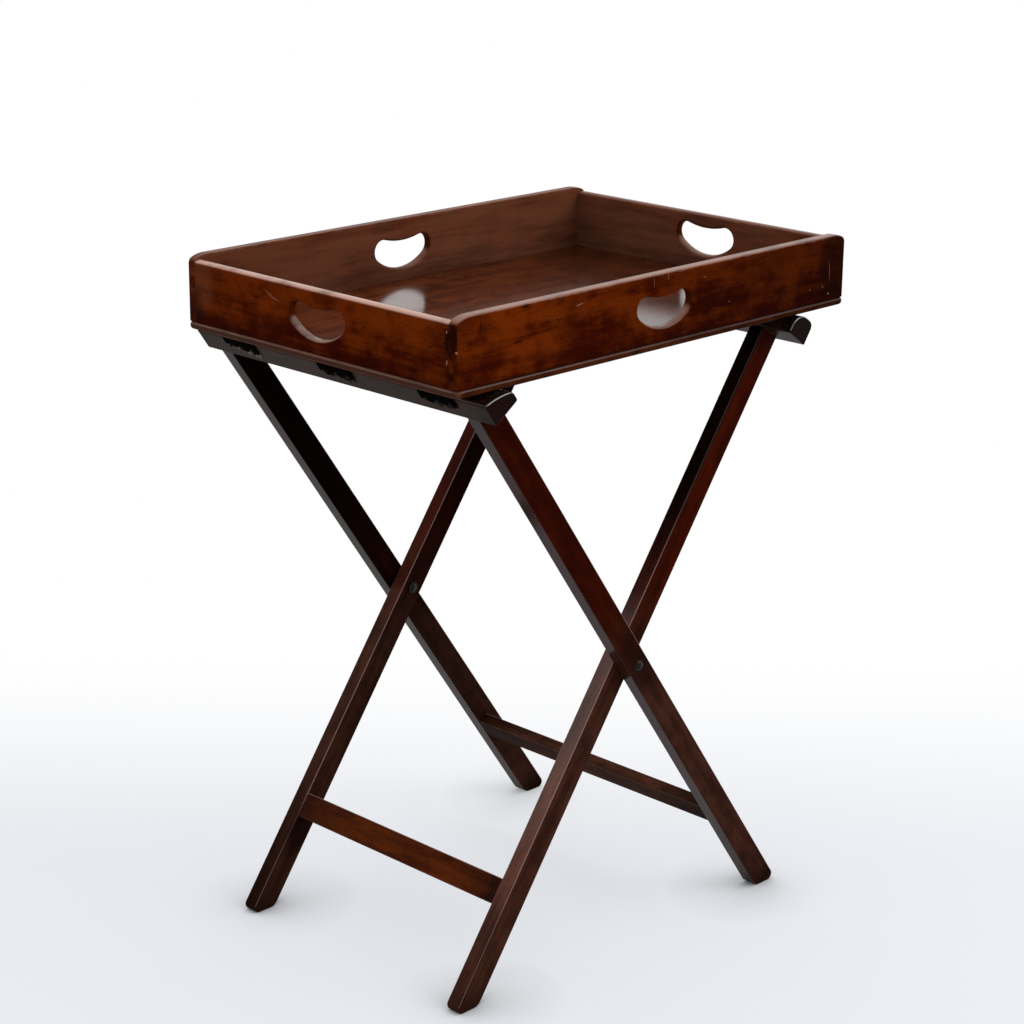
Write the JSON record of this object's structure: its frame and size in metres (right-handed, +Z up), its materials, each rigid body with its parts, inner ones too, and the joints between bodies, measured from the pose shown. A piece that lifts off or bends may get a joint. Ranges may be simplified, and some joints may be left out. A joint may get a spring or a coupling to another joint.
{
  "type": "butlers tray table",
  "caption": "Wooden serving tray with dovetailed walls and kidney hand-holes, resting on webbing straps over a folding stand of crossing legs.",
  "frame": {"origin": "on the floor, under the middle of the table's bounding box", "axes": "+X along the tray's long side towards the inner frame's top rail, +Y along its short side from the near long wall to the far one, +Z up"},
  "size_m": [0.666, 0.488, 0.849],
  "materials": {
    "tray_mahogany": "polished mahogany, worn at the edges",
    "stand_mahogany": "dark polished mahogany",
    "webbing": "worn dark cotton webbing",
    "pin_steel": "darkened steel",
    "tack_steel": "blackened steel",
    "screw_steel": "darkened steel"
  },
  "bodies": {
    "pivot": {"pivot_pin_near": "pin_steel", "pivot_pin_far": "pin_steel", "spacer_washers": "pin_steel", "burr_washers": "pin_steel"},
    "outer_frame": {"left_top_rail": "stand_mahogany", "outer_leg_near": "stand_mahogany", "outer_leg_far": "stand_mahogany", "outer_stretcher": "stand_mahogany", "left_strap_end_near": "webbing", "left_strap_end_middle": "webbing", "left_strap_end_far": "webbing", "left_strap_tacks": "tack_steel"},
    "inner_frame": {"right_top_rail": "stand_mahogany", "inner_leg_near": "stand_mahogany", "inner_leg_far": "stand_mahogany", "inner_stretcher": "stand_mahogany", "right_strap_end_near": "webbing", "right_strap_end_middle": "webbing", "right_strap_end_far": "webbing", "right_strap_tacks": "tack_steel"},
    "webbing": {"strap_near": "webbing", "strap_middle": "webbing", "strap_far": "webbing"},
    "tray": {"tray_base": "tray_mahogany", "front_wall": "tray_mahogany", "back_wall": "tray_mahogany", "left_end_wall": "tray_mahogany", "right_end_wall": "tray_mahogany", "base_screws": "screw_steel"}
  },
  "joints": [
    {"name": "outer_fold", "type": "hinge", "parent": "pivot", "child": "outer_frame", "pos_m": [-0.0108, 0, 0.3707], "axis": [0, 1, 0], "range_deg": [0, 31], "deforming": ["strap_near", "strap_middle", "strap_far"]},
    {"name": "inner_fold", "type": "hinge", "parent": "pivot", "child": "inner_frame", "pos_m": [-0.0108, 0, 0.3707], "axis": [0, 1, 0], "range_deg": [-31, 0]},
    {"name": "webbing_rise", "type": "slide", "parent": "pivot", "child": "webbing", "axis": [0, 0, 1], "range_m": [0, 0.155]},
    {"name": "tray_lift", "type": "slide", "parent": "webbing", "child": "tray", "axis": [0, 0, 1], "range_m": [0, 0.25]}
  ],
  "couplings": [
    {"joint": "inner_fold", "follows": "outer_fold", "ratio": -1},
    {"joint": "webbing_rise", "follows": "outer_fold", "m_per_rad": 0.28}
  ]
}
